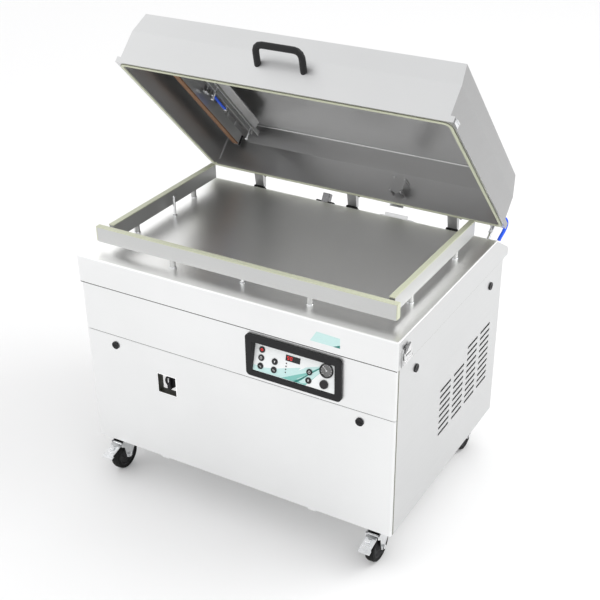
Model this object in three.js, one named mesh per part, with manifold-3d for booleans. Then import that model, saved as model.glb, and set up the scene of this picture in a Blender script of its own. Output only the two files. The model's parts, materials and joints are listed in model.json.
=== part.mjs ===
// Floor-standing chamber vacuum packing machine with its lid open.
// Millimetres, +X to the machine's right, +Y to its back, +Z up.
import * as THREE from 'three';
import { mergeVertices } from 'three/addons/utils/BufferGeometryUtils.js';
import Module from 'manifold-3d';

const wasm = await Module();
wasm.setup();

// ---- Driving dimensions -------------------------------------------------------------------
const DECK_WIDTH = 1260;            // outside of the folded apron
const DECK_HEIGHT = 930;            // floor to the top of the deck
const DECK_SHEET = 4.5;
const DECK_FLAT = 812;              // front face to where the top starts to slope down
const DECK_DEPTH = 937;             // front face to the back of the apron
const DECK_SLOPE_END = { y: 922, z: 864 };
const APRON_HEIGHT = 105;
const EDGE_RADIUS = 6;

const CABINET_HALF = 624.5;         // half width of the cabinet, inside the apron
const CABINET_FRONT = 5.5;
const CABINET_BACK = 901.5;
const CABINET_BOTTOM = 155;
const PANEL_SHEET = 2;
const PANEL_TOP = 862;              // the panels tuck up behind the apron
const SEAM_HEIGHT = 630;            // between the upper and lower front panels
const SEAM_GAP = 2;
const FRONT_RETURN = 13;            // how far the front panels fold round the corner
const CORNER_GAP = 2.5;
const CORNER_RADIUS = 6;

const OPEN_ANGLE = THREE.MathUtils.degToRad(46);
const HINGE = { y: 864.8, z: 865.6 };
const LID_FRONT = 2;                // closed lid's front face
const LID_REST = 934.5;             // closed lid's rim face
const LID_DEPTH = 808;
const LID_HALF = 619;
const LID_SHEET = 3.5;
const RIM_HALF = 634;
const RIM_HEIGHT = 21;
const RIM_WIDTH = 22;
const CREASE_HEIGHT = 124;
const LID_HEIGHT = 204;
const LID_TAPER = 14;
const GASKET = { inset: 9, width: 10, proud: 3.4, sunk: 4.7, radius: 28 };

const BAR = { width: 20, bottom: 959.4, top: 1013.3 };
const STRIP_THICK = 3.7;
const FRONT_BAR = { half: 584.5, y: 81 };
const SIDE_BAR = { x: 550, front: 111, back: 756 };
const POST_RADIUS = 10;
const FRONT_POST_X = 271;
const SIDE_POST_Y = [249, 611];
const SEAL_BAR = { low: 94, high: 142, pinTop: 188 };
const GUIDE = { half: 17, low: 166, spacing: 24 };

const CONSOLE = { left: 70, right: 433, bottom: 648, top: 809, proud: 10, radius: 15 };
const FASCIA = { left: 94, right: 409, bottom: 670, top: 782, front: -1, back: 28, thick: 3 };
const FASCIA_TILT = Math.atan2(FASCIA.back - FASCIA.front, FASCIA.top - FASCIA.bottom);
const SWITCH = { x: -280, z: 486, half: 40, depth: 31 };

const LOCK_RADIUS = 14.8;
const FRONT_LOCK = { x: 498, z: 590 };
const SIDE_LOCK = { y: [150, 788], z: 757 };
const VENT = { start: 371, pitchY: 117.6, length: 92, pitchZ: 26.3, height: 10.5, low: 352 };
const VENT_ROWS = [8, 8, 10, 10];

const WHEEL = { radius: 62.5, width: 36, trail: 40 };
const PEDAL = { y: -70, z: 124, half: 20, reach: 78, tilt: 15 };
const CASTER = { x: 552, y: [89, 845], plateLow: 150 };
const FORK_TOP = 149.3;

const GAP = 0.3;                    // running and fitting gap between neighbours

// ---- Finishes -----------------------------------------------------------------------------
const finish = (color, roughness, metalness) => new THREE.MeshStandardMaterial({ color, roughness, metalness });
const STAINLESS = finish(0xdcdddd, 0.38, 0.9);
const DECK_STEEL = finish(0xb4b4b2, 0.28, 1.0);
const ANODISED = finish(0xbfc0c2, 0.45, 0.8);
const CHROME = finish(0xe4e6e8, 0.12, 1.0);
const BLACK = finish(0x17181a, 0.5, 0.0);
const RUBBER = finish(0x1b1b1c, 0.8, 0.0);
const SILICONE = finish(0xcdcfb9, 0.6, 0.0);
const BLUE = finish(0x1450d8, 0.35, 0.0);
const PALE_FOIL = finish(0xdfe3e2, 0.5, 0.0);
const CAST = finish(0x59616a, 0.6, 0.4);

// ---- Solids -------------------------------------------------------------------------------
function toManifold(geometry) {
  const bare = geometry.clone();
  bare.deleteAttribute('normal');
  bare.deleteAttribute('uv');
  const merged = mergeVertices(bare, 1e-4);
  return new wasm.Manifold(new wasm.Mesh({
    numProp: 3,
    vertProperties: new Float32Array(merged.attributes.position.array),
    triVerts: new Uint32Array(merged.index.array),
  }));
}

function fromManifold(manifold) {
  const mesh = manifold.getMesh();
  const geometry = new THREE.BufferGeometry();
  geometry.setAttribute('position', new THREE.BufferAttribute(mesh.vertProperties, 3));
  geometry.setIndex(new THREE.BufferAttribute(mesh.triVerts, 1));
  geometry.computeVertexNormals();
  return geometry;
}

// The first geometry joined with the others, less everything in cuts.
function shape(joined, cuts = []) {
  let body = toManifold(joined[0]);
  for (const part of joined.slice(1)) body = body.add(toManifold(part));
  for (const part of cuts) body = body.subtract(toManifold(part));
  return fromManifold(body);
}

function block(x0, x1, y0, y1, z0, z1) {
  const geometry = new THREE.BoxGeometry(x1 - x0, y1 - y0, z1 - z0);
  return geometry.translate((x0 + x1) / 2, (y0 + y1) / 2, (z0 + z1) / 2);
}

const AXIS_TURN = {
  x: new THREE.Matrix4().makeRotationZ(-Math.PI / 2),
  y: new THREE.Matrix4(),
  z: new THREE.Matrix4().makeRotationX(Math.PI / 2),
};

// A round bar along x, y or z, from low to high along that axis.
function rod(axis, radius, low, high, a, b, segments = 20) {
  const geometry = new THREE.CylinderGeometry(radius, radius, high - low, segments);
  geometry.applyMatrix4(AXIS_TURN[axis]);
  const mid = (low + high) / 2;
  if (axis === 'x') return geometry.translate(mid, a, b);
  if (axis === 'y') return geometry.translate(a, mid, b);
  return geometry.translate(a, b, mid);
}

const SIDE_VIEW = new THREE.Matrix4().makeBasis(
  new THREE.Vector3(0, 1, 0), new THREE.Vector3(0, 0, 1), new THREE.Vector3(1, 0, 0));

// A side-view outline (y, z) swept from x0 to x1, with optional rounded end edges.
function sideways(outline, x0, x1, round = 0) {
  const geometry = new THREE.ExtrudeGeometry(outline, {
    depth: x1 - x0 - 2 * round, bevelEnabled: round > 0, bevelThickness: round,
    bevelSize: round, bevelOffset: -round, bevelSegments: 3, curveSegments: 6,
  });
  return geometry.translate(0, 0, x0 + round).applyMatrix4(SIDE_VIEW);
}

const FRONT_VIEW = new THREE.Matrix4().makeBasis(
  new THREE.Vector3(1, 0, 0), new THREE.Vector3(0, 0, 1), new THREE.Vector3(0, -1, 0));

// A front-view outline (x, z) swept from y0 back to y1.
function backwards(outline, y0, y1) {
  const geometry = new THREE.ExtrudeGeometry(outline, { depth: y1 - y0, bevelEnabled: false, curveSegments: 6 });
  return geometry.applyMatrix4(FRONT_VIEW).translate(0, y1, 0);
}

function polygon(points) {
  return new THREE.Shape(points.map(([a, b]) => new THREE.Vector2(a, b)));
}

function roundedRect(x0, x1, y0, y1, radius) {
  const outline = new THREE.Shape();
  outline.moveTo(x0 + radius, y0);
  outline.lineTo(x1 - radius, y0);
  outline.absarc(x1 - radius, y0 + radius, radius, -Math.PI / 2, 0);
  outline.lineTo(x1, y1 - radius);
  outline.absarc(x1 - radius, y1 - radius, radius, 0, Math.PI / 2);
  outline.lineTo(x0 + radius, y1);
  outline.absarc(x0 + radius, y1 - radius, radius, Math.PI / 2, Math.PI);
  outline.lineTo(x0, y0 + radius);
  outline.absarc(x0 + radius, y0 + radius, radius, Math.PI, 1.5 * Math.PI);
  return outline;
}

function piece(name, geometry, material, parent) {
  const mesh = new THREE.Mesh(geometry, material);
  mesh.name = name;
  parent.add(mesh);
  return mesh;
}

function groupAt(parent, x, y, z, turnX = 0) {
  const group = new THREE.Group();
  group.position.set(x, y, z);
  group.rotation.x = turnX;
  parent.add(group);
  return group;
}

const machine = new THREE.Group();

// ---- Deck: one folded sheet, flat where the chamber stands, sloped at the back --------------
function deckOutline(inset, bottom) {
  const top = DECK_HEIGHT - inset;
  const radius = Math.max(EDGE_RADIUS - inset, 1);
  const outline = new THREE.Shape();
  outline.moveTo(inset, bottom);
  outline.lineTo(inset, top - radius);
  outline.absarc(inset + radius, top - radius, radius, Math.PI, Math.PI / 2, true);
  outline.lineTo(DECK_FLAT - inset * 0.3, top);
  outline.lineTo(DECK_SLOPE_END.y - inset * 0.6, DECK_SLOPE_END.z - inset * 0.8);
  outline.quadraticCurveTo(DECK_DEPTH - inset, DECK_SLOPE_END.z - 9, DECK_DEPTH - inset, DECK_SLOPE_END.z - 22);
  outline.lineTo(DECK_DEPTH - inset, bottom);
  return outline;
}

const ARM_X = [-421, 0, 421];
const ARM_WIDTH = 38;
const STRUT_X = 575;
{
  const half = DECK_WIDTH / 2;
  const bottom = DECK_HEIGHT - APRON_HEIGHT;
  const armSlot = ARM_WIDTH / 2 + 3;
  const slots = ARM_X.map((x) => block(x - armSlot, x + armSlot, 816, 905, bottom, DECK_HEIGHT + 5));
  slots.push(block(STRUT_X - 14, STRUT_X + 14, 811.5, 872, bottom, DECK_HEIGHT + 5));
  piece('deck_plate', shape([sideways(deckOutline(0, bottom - 15), -half, half, EDGE_RADIUS - 1)], [
    sideways(deckOutline(DECK_SHEET, bottom - 30), -half + DECK_SHEET, half - DECK_SHEET),
    block(-half - 1, half + 1, -1, DECK_DEPTH + 1, bottom - 20, bottom),
    ...slots,
  ]), DECK_STEEL, machine);
}

// ---- Chassis: tray, corner angles, top rails, shaft bearings and caster plates --------------
const CHASSIS = { half: 612, front: 24, back: 892, low: 158, high: 866, angle: 40, sheet: 3, flange: 42 };
const DECK_REST = DECK_HEIGHT - DECK_SHEET - GAP;
const STRUT = { x: STRUT_X, y: 585, z: 720, length: 380.2, tilt: THREE.MathUtils.degToRad(34.1) };

{
  const { half, front, back, low, high, angle, sheet, flange } = CHASSIS;
  const parts = [
    block(-half, half, front, back, low, low + sheet),
    block(half - 10, half, STRUT.y - 25, STRUT.y + 25, STRUT.z - 20, high),
    rod('x', 5, STRUT.x - 12, half - 10, STRUT.y, STRUT.z, 16),
  ];
  for (const side of [-1, 1]) {
    const outer = side * half;
    const inner = side * (half - sheet);
    const [x0, x1] = [Math.min(outer, inner), Math.max(outer, inner)];
    parts.push(block(x0, x1, front, back, low, low + flange));
    parts.push(block(x0, x1, front, back, high - 30, high));
    for (const [y0, y1] of [[front, front + angle], [back - angle, back]]) {
      parts.push(block(x0, x1, y0, y1, low, high));
    }
    for (const y0 of [front, back - sheet]) {
      const reach = side * (half - angle);
      parts.push(block(Math.min(outer, reach), Math.max(outer, reach), y0, y0 + sheet, low, high));
    }
    const web = side * (half - angle - 22);
    const [web0, web1] = [Math.min(web, outer), Math.max(web, outer)];
    parts.push(block(web0, web1, HINGE.y - 21, back, HINGE.z - 28, HINGE.z));
    parts.push(rod('x', 21, web0, web1, HINGE.y, HINGE.z, 32));
    for (const y of [front, 760]) {
      parts.push(block(x0, x1, y, y + angle, high - 30, DECK_REST));
      parts.push(block(Math.min(outer, web), Math.max(outer, web), y, y + angle, DECK_REST - sheet, DECK_REST));
    }
    for (const y of CASTER.y) {
      parts.push(block(side * CASTER.x - 45, side * CASTER.x + 45, y - 50, y + 45, CASTER.plateLow, low + 1));
    }
    parts.push(block(side * 315 - 16, side * 315 + 16, CABINET_FRONT + 1, front + 2, low - 9, low - 3.5));
    parts.push(block(side * 315 - 16, side * 315 + 16, front - 4, front + 2, low - 9, low + 1));
  }
  for (const y0 of [front, back - sheet]) {
    parts.push(block(-half, half, y0, y0 + sheet, low, low + flange));
  }
  parts.push(block(-half, half, front, front + sheet, high - 24, high));
  const shaftBore = rod('x', 14.6, -half - 1, half + 1, HINGE.y, HINGE.z, 32);
  piece('chassis', shape(parts, [shaftBore]), STAINLESS, machine);
}

// ---- Cabinet panels -----------------------------------------------------------------------
// A pan seen from above as an outline with both front corners rounded, standing from low to high.
function uprightPan(half, front, rear, radius, low, high) {
  const outline = new THREE.Shape();
  outline.moveTo(-half, rear);
  outline.lineTo(-half, front + radius);
  outline.absarc(-half + radius, front + radius, radius, Math.PI, 1.5 * Math.PI);
  outline.absarc(half - radius, front + radius, radius, 1.5 * Math.PI, 2 * Math.PI);
  outline.lineTo(half, rear);
  const geometry = new THREE.ExtrudeGeometry(outline, { depth: high - low, bevelEnabled: false, curveSegments: 5 });
  return geometry.translate(0, 0, low);
}

function frontPanel(low, high) {
  const rear = CABINET_FRONT + FRONT_RETURN;
  return [
    uprightPan(CABINET_HALF, CABINET_FRONT, rear, CORNER_RADIUS, low, high),
    uprightPan(CABINET_HALF - PANEL_SHEET, CABINET_FRONT + PANEL_SHEET, rear + 1, CORNER_RADIUS - PANEL_SHEET,
      low + PANEL_SHEET, high - PANEL_SHEET),
  ];
}

{
  const [pan, hollow] = frontPanel(SEAM_HEIGHT + SEAM_GAP / 2, PANEL_TOP);
  const collarGap = 12;
  piece('front_upper_panel', shape([pan], [hollow, block(
    FASCIA.left - collarGap, FASCIA.right + collarGap, 0, 40,
    FASCIA.bottom - collarGap, FASCIA.top + collarGap)]), STAINLESS, machine);
}
{
  const [pan, hollow] = frontPanel(CABINET_BOTTOM, SEAM_HEIGHT - SEAM_GAP / 2);
  const cut = SWITCH.half + 1.5;
  piece('front_lower_panel', shape([pan], [
    hollow,
    block(SWITCH.x - cut, SWITCH.x + cut, 0, 40, SWITCH.z - cut, SWITCH.z + cut),
    ...[-1, 1].map((side) => rod('y', 13, 0, 40, side * FRONT_LOCK.x, FRONT_LOCK.z)),
  ]), STAINLESS, machine);
}

const SIDE_PANEL_FRONT = CABINET_FRONT + FRONT_RETURN + CORNER_GAP;
const SIDE_PANEL_BACK = CABINET_BACK - PANEL_SHEET - 0.5;

function sidePanel(cuts) {
  return shape([
    block(CABINET_HALF - 14, CABINET_HALF, SIDE_PANEL_FRONT, SIDE_PANEL_BACK, CABINET_BOTTOM, PANEL_TOP),
  ], [
    block(CABINET_HALF - 15, CABINET_HALF - PANEL_SHEET, SIDE_PANEL_FRONT + PANEL_SHEET,
      SIDE_PANEL_BACK - PANEL_SHEET, CABINET_BOTTOM + PANEL_SHEET, PANEL_TOP + 1),
    ...cuts,
  ]);
}

// One louvre slot with eased corners, cut through the side panel.
function ventSlot(y, z) {
  const [far, half, ease] = [y + VENT.length, VENT.height / 2, 3];
  const outline = polygon([
    [y, z - half + ease], [y + ease, z - half], [far - ease, z - half], [far, z - half + ease],
    [far, z + half - ease], [far - ease, z + half], [y + ease, z + half], [y, z + half - ease]]);
  return sideways(outline, CABINET_HALF - 6, CABINET_HALF + 4);
}

{
  const vents = [];
  VENT_ROWS.forEach((rows, column) => {
    for (let row = 0; row < rows; row += 1) {
      vents.push(ventSlot(VENT.start + column * VENT.pitchY, VENT.low + row * VENT.pitchZ));
    }
  });
  const lockHoles = SIDE_LOCK.y.map((y) => rod('x', 13, CABINET_HALF - 20, CABINET_HALF + 5, y, SIDE_LOCK.z));
  piece('right_panel', sidePanel([...vents, ...lockHoles]), STAINLESS, machine);
  piece('left_panel', sidePanel([]).applyMatrix4(new THREE.Matrix4().makeRotationZ(Math.PI))
    .translate(0, SIDE_PANEL_FRONT + SIDE_PANEL_BACK, 0), STAINLESS, machine);
}
{
  const slots = [];
  for (let row = 0; row < 6; row += 1) {
    for (const x of [-150, 150]) {
      slots.push(block(x - 60, x + 60, CABINET_BACK - 10, CABINET_BACK + 5, 300 + row * 26, 306 + row * 26));
    }
  }
  piece('rear_panel', shape([
    block(-CABINET_HALF, CABINET_HALF, CABINET_BACK - PANEL_SHEET, CABINET_BACK, CABINET_BOTTOM, 835),
  ], slots), STAINLESS, machine);
}

// ---- Quarter-turn panel locks: head outside, barrel and cam behind --------------------------
function lockGeometry() {
  const cam = block(-8, 8, 14, 17, -8, 30);
  return shape([
    rod('y', LOCK_RADIUS, -4.3, -GAP, 0, 0, 32),
    rod('y', 12, -1, 18, 0, 0),
    cam,
  ], [block(-11, 11, -5, -2.8, -1.5, 1.5)]);
}
for (const [name, side] of [['panel_lock_front_left', -1], ['panel_lock_front_right', 1]]) {
  piece(name, lockGeometry(), BLACK, groupAt(machine, side * FRONT_LOCK.x, CABINET_FRONT, FRONT_LOCK.z));
}
['panel_lock_side_front', 'panel_lock_side_rear'].forEach((name, i) => {
  const turned = groupAt(machine, CABINET_HALF, SIDE_LOCK.y[i], SIDE_LOCK.z);
  turned.rotation.z = Math.PI / 2;
  piece(name, lockGeometry(), BLACK, turned);
});

// ---- Control console ------------------------------------------------------------------------
{
  const { left, right, bottom, top, proud, radius } = CONSOLE;
  const face = CABINET_FRONT - proud;
  const collar = 10;
  piece('control_bezel', shape([
    backwards(roundedRect(left, right, bottom, top, radius), face, CABINET_FRONT - GAP),
    block(FASCIA.left - collar, FASCIA.right + collar, face + 2, 36,
      FASCIA.bottom - collar, FASCIA.top + collar),
  ], [
    block(FASCIA.left, FASCIA.right, face - 1, 40, FASCIA.bottom, FASCIA.top),
  ]), BLACK, machine);
}

const fasciaMid = (FASCIA.left + FASCIA.right) / 2;
const FASCIA_LENGTH = (FASCIA.top - FASCIA.bottom) / Math.cos(FASCIA_TILT);
// In this group x runs along the fascia, y up its slope and z out of its face.
const fascia = groupAt(machine, fasciaMid, FASCIA.front, FASCIA.bottom, Math.PI / 2 - FASCIA_TILT);
const KEY_RADIUS = 11;
const KEY_COLUMNS = [-129, -76.5, 56];
const KEY_ROWS = [80, 51, 21.7];
const KEYS = [[0, 0], [0, 1], [0, 2], [1, 1], [1, 2], [2, 1], [2, 2]];
const STOP = { x: 114.6, y: 24.4, radius: 15 };
const GAUGE = { x: 116.8, y: 72.5, radius: 25, depth: 30, proud: 4 };
{
  const half = (FASCIA.right - FASCIA.left) / 2 - GAP;
  const holes = KEYS.map(([c, r]) => rod('z', KEY_RADIUS + 0.6, -10, 10, KEY_COLUMNS[c], KEY_ROWS[r]));
  piece('control_fascia', shape([block(-half, half, 1.2, FASCIA_LENGTH - 1.2, -FASCIA.thick, 0)], [
    ...holes,
    rod('z', STOP.radius + 0.6, -10, 10, STOP.x, STOP.y),
    rod('z', GAUGE.radius + 0.5, -10, 10, GAUGE.x, GAUGE.y, 32),
    block(-38, 18, 66, 87.5, -0.8, 5),
  ]), PALE_FOIL, fascia);
}
KEYS.forEach(([c, r], i) => {
  const [x, y] = [KEY_COLUMNS[c], KEY_ROWS[r]];
  piece(`key_${i + 1}`, rod('z', KEY_RADIUS, -8, 2.5, x, y), BLACK, fascia);
});
piece('stop_button', rod('z', STOP.radius, -10, 6, STOP.x, STOP.y, 28), BLACK, fascia);
piece('gauge_case', shape([
  rod('z', GAUGE.radius, -GAUGE.depth, GAUGE.proud, GAUGE.x, GAUGE.y, 32),
], [
  rod('z', GAUGE.radius - 3, GAUGE.proud - 4, GAUGE.proud + 1, GAUGE.x, GAUGE.y, 32),
]), BLACK, fascia);
{
  const needle = groupAt(fascia, GAUGE.x, GAUGE.y, GAUGE.proud - 4 + GAP);
  needle.rotation.z = THREE.MathUtils.degToRad(-45);
  const hand = block(-19, 4, -0.8, 0.8, 0.5, 1.5);
  piece('gauge_needle', shape([rod('z', 3, 0, 2, 0, 0, 16), hand]), BLACK, needle);
}

// ---- Main switch: a square recess with a rotary knob ----------------------------------------
{
  const { x, z, half, depth } = SWITCH;
  const floorY = CABINET_FRONT + depth;
  piece('switch_plate', shape([
    block(x - half - 1, x + half + 1, CABINET_FRONT + 0.5, floorY + 2, z - half - 1, z + half + 1),
  ], [
    block(x - half + 1, x + half - 1, 0, floorY, z - half + 1, z + half - 1),
    rod('y', 8.5, 0, floorY + 10, x, z),
  ]), STAINLESS, machine);
  const knob = groupAt(machine, x, floorY - GAP, z);
  piece('switch_knob', shape([
    rod('y', 25, -8, 0, 0, 0, 32),
    rod('y', 8, -1, 8, 0, 0),
    block(-7, 7, -20, -6, -25, 25),
  ]), BLACK, knob);
}

// ---- Counter bars on two posts each, with their silicone strips -----------------------------
const stripLow = BAR.top + GAP;
const stripHigh = stripLow + STRIP_THICK;
const halfBar = BAR.width / 2;
{
  const { half, y } = FRONT_BAR;
  piece('counter_bar_front', shape([
    block(-half, half, y - halfBar, y + halfBar, BAR.bottom, BAR.top),
    ...[-1, 1].map((side) => rod('z', POST_RADIUS, DECK_HEIGHT + GAP, BAR.bottom + 5, side * FRONT_POST_X, y)),
  ]), ANODISED, machine);
  const end = half + GAP;
  piece('silicone_strip_front', shape([
    block(-end - STRIP_THICK, end + STRIP_THICK, y - halfBar, y + halfBar, stripLow, stripHigh),
    block(-end - STRIP_THICK, -end, y - halfBar, y + halfBar, BAR.bottom + 3, stripHigh - 1),
    block(end, end + STRIP_THICK, y - halfBar, y + halfBar, BAR.bottom + 3, stripHigh - 1),
  ]), SILICONE, machine);
}
for (const [name, side] of [['left', -1], ['right', 1]]) {
  const x = side * SIDE_BAR.x;
  piece(`counter_bar_${name}`, shape([
    block(x - halfBar, x + halfBar, SIDE_BAR.front, SIDE_BAR.back, BAR.bottom, BAR.top),
    ...SIDE_POST_Y.map((y) => rod('z', POST_RADIUS, DECK_HEIGHT + GAP, BAR.bottom + 5, x, y)),
  ]), ANODISED, machine);
  piece(`silicone_strip_${name}`,
    block(x - halfBar, x + halfBar, SIDE_BAR.front - 3, SIDE_BAR.back, stripLow, stripHigh), SILICONE, machine);
}

// ---- Casters --------------------------------------------------------------------------------
const AXLE_RADIUS = 5;
const CASTERS = [['front_left', -1, 0], ['front_right', 1, 0], ['rear_left', -1, 1], ['rear_right', 1, 1]];
function forkGeometry() {
  const axle = [-WHEEL.trail, WHEEL.radius];
  const leg = polygon([[-58, 136], [-78, 131], [-78, 117], [-64, 108], [-55, 58], [-WHEEL.trail, 48],
    [-25, 58], [24, 124], [24, 136]]);
  return shape([
    rod('z', 34, 136, FORK_TOP, 0, 0, 32),
    block(-26, 26, -58, 24, 131, 137),
    sideways(leg, -26, -22),
    sideways(leg, 22, 26),
    rod('x', AXLE_RADIUS, -29, 29, axle[0], axle[1], 20),
  ]);
}
function wheelGeometry() {
  const sides = 28;
  const reach = WHEEL.radius / Math.cos(Math.PI / sides);
  const half = WHEEL.width / 2;
  const profile = [[5.4, -half - 2], [16, -half - 2], [20, -half], [reach - 5, -half], [reach, -half + 7],
    [reach, half - 7], [reach - 5, half], [20, half], [16, half + 2], [5.4, half + 2], [5.4, -half - 2]];
  const geometry = new THREE.LatheGeometry(profile.map(([r, h]) => new THREE.Vector2(r, h)), sides);
  return geometry.rotateZ(-Math.PI / 2).rotateX(Math.PI / sides);
}
for (const [name, side, row] of CASTERS) {
  const caster = groupAt(machine, side * CASTER.x, CASTER.y[row], 0);
  piece(`caster_fork_${name}`, forkGeometry(), CHROME, caster);
  const axle = groupAt(caster, 0, -WHEEL.trail, WHEEL.radius);
  piece(`caster_wheel_${name}`, shape([wheelGeometry()]), RUBBER, axle);
  if (row === 0) {
    const pedal = groupAt(caster, 0, PEDAL.y, PEDAL.z, THREE.MathUtils.degToRad(PEDAL.tilt));
    const { half, reach } = PEDAL;
    piece(`brake_pedal_${name}`, shape([
      block(-half, half, 12 - reach, 4, -2, 2),
      block(-half, half, -22, -8, -2, 7),
      block(-half - 2, half + 2, -reach, 16 - reach, -8, -4),
      block(-half - 2, half + 2, 12 - reach, 16 - reach, -8, 2),
      rod('x', 5, -21.6, 21.6, 0, 0, 16),
    ]), CHROME, pedal);
  }
}

// ---- Toggle latch at the front of the right side --------------------------------------------
const LATCH = { x: DECK_WIDTH / 2 + GAP, y: 56, low: 827, high: 890, pivot: 845, hook: 872 };
{
  const { x, y, low, high, pivot, hook } = LATCH;
  piece('latch_base', shape([
    block(x, x + 2.5, y - 32, y + 32, low, high),
    block(x, x + 9, y - 32, y - 28, pivot - 10, pivot + 10),
    block(x, x + 9, y + 28, y + 32, pivot - 10, pivot + 10),
  ]), CHROME, machine);
  piece('latch_lever', shape([
    rod('y', 3, y - 27, y + 27, x + 6.5, pivot, 16),
    block(x + 5, x + 8, y - 27, y + 27, pivot, hook + 4),
    block(x + 7, x + 11, y - 27, y + 27, pivot - 3, pivot + 3),
  ], [block(x, x + 20, y - 19, y + 19, hook - 8, hook + 8)]), CHROME, machine);
  piece('latch_hook', shape([
    rod('y', 2.5, y - 18, y + 18, x + 6.5, hook, 12),
    block(x + 5.3, x + 7.7, y - 18, y + 18, hook, hook + 26),
    block(x + 2.5, x + 7.7, y - 18, y + 18, hook + 23, hook + 26),
  ]), CHROME, machine);
}

// ---- Lid, modelled closed inside a group that is turned open about the hinge ----------------
const lid = groupAt(machine, 0, HINGE.y, HINGE.z, -OPEN_ANGLE);
const closed = groupAt(lid, 0, -HINGE.y + LID_FRONT, -HINGE.z + LID_REST);   // x, depth, height above the rim

// A box whose top is drawn in by the taper on all four sides.
function tapered(half, y0, y1, z0, z1, taper) {
  const geometry = block(-half, half, y0, y1, z0, z1);
  const position = geometry.attributes.position;
  for (let i = 0; i < position.count; i += 1) {
    if (position.getZ(i) < z1 - 0.01) continue;
    position.setX(i, position.getX(i) - Math.sign(position.getX(i)) * taper);
    position.setY(i, position.getY(i) + (position.getY(i) > (y0 + y1) / 2 ? -taper : taper));
  }
  return geometry;
}

function gasketRing(spare, low, high) {
  const { inset, width, radius } = GASKET;
  const ring = (offset, r) => roundedRect(-RIM_HALF + offset, RIM_HALF - offset, offset, LID_DEPTH - offset, r);
  const outline = ring(inset - spare, radius + spare);
  outline.holes.push(ring(inset + width + spare, radius - width - spare));
  const geometry = new THREE.ExtrudeGeometry(outline, { depth: high - low, bevelEnabled: false, curveSegments: 8 });
  return geometry.translate(0, 0, low);
}

const SEAL_PINS_SIDE = [210, 640];
const SEAL_PINS_FRONT = [-300, 300];
const sealFrontY = FRONT_BAR.y - LID_FRONT;
{
  const ceiling = LID_HEIGHT - LID_SHEET;
  const guides = [
    ...[-1, 1].flatMap((side) => SEAL_PINS_SIDE.map((y) => [side * SIDE_BAR.x, y])),
    ...SEAL_PINS_FRONT.map((x) => [x, sealFrontY]),
  ];
  const bosses = guides.map(([x, y]) => block(x - GUIDE.half, x + GUIDE.half,
    y - GUIDE.spacing, y + GUIDE.spacing, GUIDE.low, ceiling + 1));
  const strutLug = sideways(polygon([[LID_DEPTH - 2, 30], [LID_DEPTH - 2, 2],
    [845, -8], [851, -2], [851, 10], [836, 30]]), STRUT_X - 3, STRUT_X + 3);
  const pinHoles = guides.map(([x, y]) => rod('z', 6.5, GUIDE.low - 1, ceiling - 6, x, y));
  const skin = shape([
    block(-RIM_HALF, RIM_HALF, 0, LID_DEPTH, 0, RIM_HEIGHT),
    block(-LID_HALF, LID_HALF, 0, LID_DEPTH, RIM_HEIGHT - 1, CREASE_HEIGHT),
    tapered(LID_HALF, 0, LID_DEPTH, CREASE_HEIGHT, LID_HEIGHT, LID_TAPER),
  ], [
    block(-RIM_HALF + RIM_WIDTH, RIM_HALF - RIM_WIDTH, RIM_WIDTH, LID_DEPTH - RIM_WIDTH, -1, RIM_HEIGHT + 1),
    block(-LID_HALF + LID_SHEET, LID_HALF - LID_SHEET, LID_SHEET, LID_DEPTH - LID_SHEET,
      RIM_HEIGHT, CREASE_HEIGHT),
    tapered(LID_HALF - LID_SHEET, LID_SHEET, LID_DEPTH - LID_SHEET, CREASE_HEIGHT - 0.01, ceiling, LID_TAPER),
    gasketRing(GAP, -1, GASKET.sunk + GAP),
  ]);
  piece('lid_shell', shape([skin, ...bosses, strutLug], pinHoles), STAINLESS, closed);
}
piece('lid_gasket', gasketRing(0, -GASKET.proud, GASKET.sunk), SILICONE, closed);

// Seal bars hang on guide pins in their rails, over the counter bars.
function sealBar(name, bar, pins) {
  piece(name, shape([
    bar,
    ...pins.map(([x, y]) => rod('z', 5.5, SEAL_BAR.high - 2, SEAL_BAR.pinTop, x, y, 16)),
  ]), ANODISED, closed);
}
sealBar('seal_bar_front',
  block(-574, 574, sealFrontY - halfBar, sealFrontY + halfBar, SEAL_BAR.low, SEAL_BAR.high),
  SEAL_PINS_FRONT.map((x) => [x, sealFrontY]));
for (const [name, side] of [['left', -1], ['right', 1]]) {
  const x = side * SIDE_BAR.x;
  sealBar(`seal_bar_${name}`, block(x - halfBar, x + halfBar, 110, 775, SEAL_BAR.low, SEAL_BAR.high),
    SEAL_PINS_SIDE.map((y) => [x, y]));
}

// Bridge handle on the front wall, its grip standing out and leaning up.
{
  const out = 61;
  const rise = 38;
  const [foot, half, shoulder] = [81, 87, 30];
  const corner = (x, t) => new THREE.Vector3(x, -out * t, foot + rise * t);
  const shoulderT = 1 - shoulder / Math.hypot(rise, out);
  const path = new THREE.CurvePath();
  path.add(new THREE.LineCurve3(corner(-half, -0.15), corner(-half, shoulderT)));
  path.add(new THREE.QuadraticBezierCurve3(
    corner(-half, shoulderT), corner(-half, 1), corner(-half + shoulder, 1)));
  path.add(new THREE.LineCurve3(corner(-half + shoulder, 1), corner(half - shoulder, 1)));
  path.add(new THREE.QuadraticBezierCurve3(
    corner(half - shoulder, 1), corner(half, 1), corner(half, shoulderT)));
  path.add(new THREE.LineCurve3(corner(half, shoulderT), corner(half, -0.15)));
  const section = new THREE.Shape();
  section.absellipse(0, 0, 12, 10.5, 0, 2 * Math.PI);
  const grip = new THREE.ExtrudeGeometry(section, { steps: 26, extrudePath: path, curveSegments: 6 });
  piece('lid_handle', shape([grip], [block(-200, 200, -GAP, 40, 0, 200)]), BLACK, closed);
}

piece('lid_keeper', shape([
  block(RIM_HALF + GAP, RIM_HALF + 2.8, 8, 46, 2, 19),
  block(RIM_HALF + GAP, RIM_HALF + 6.5, 12, 42, 15, 18),
]), CHROME, closed);

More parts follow.
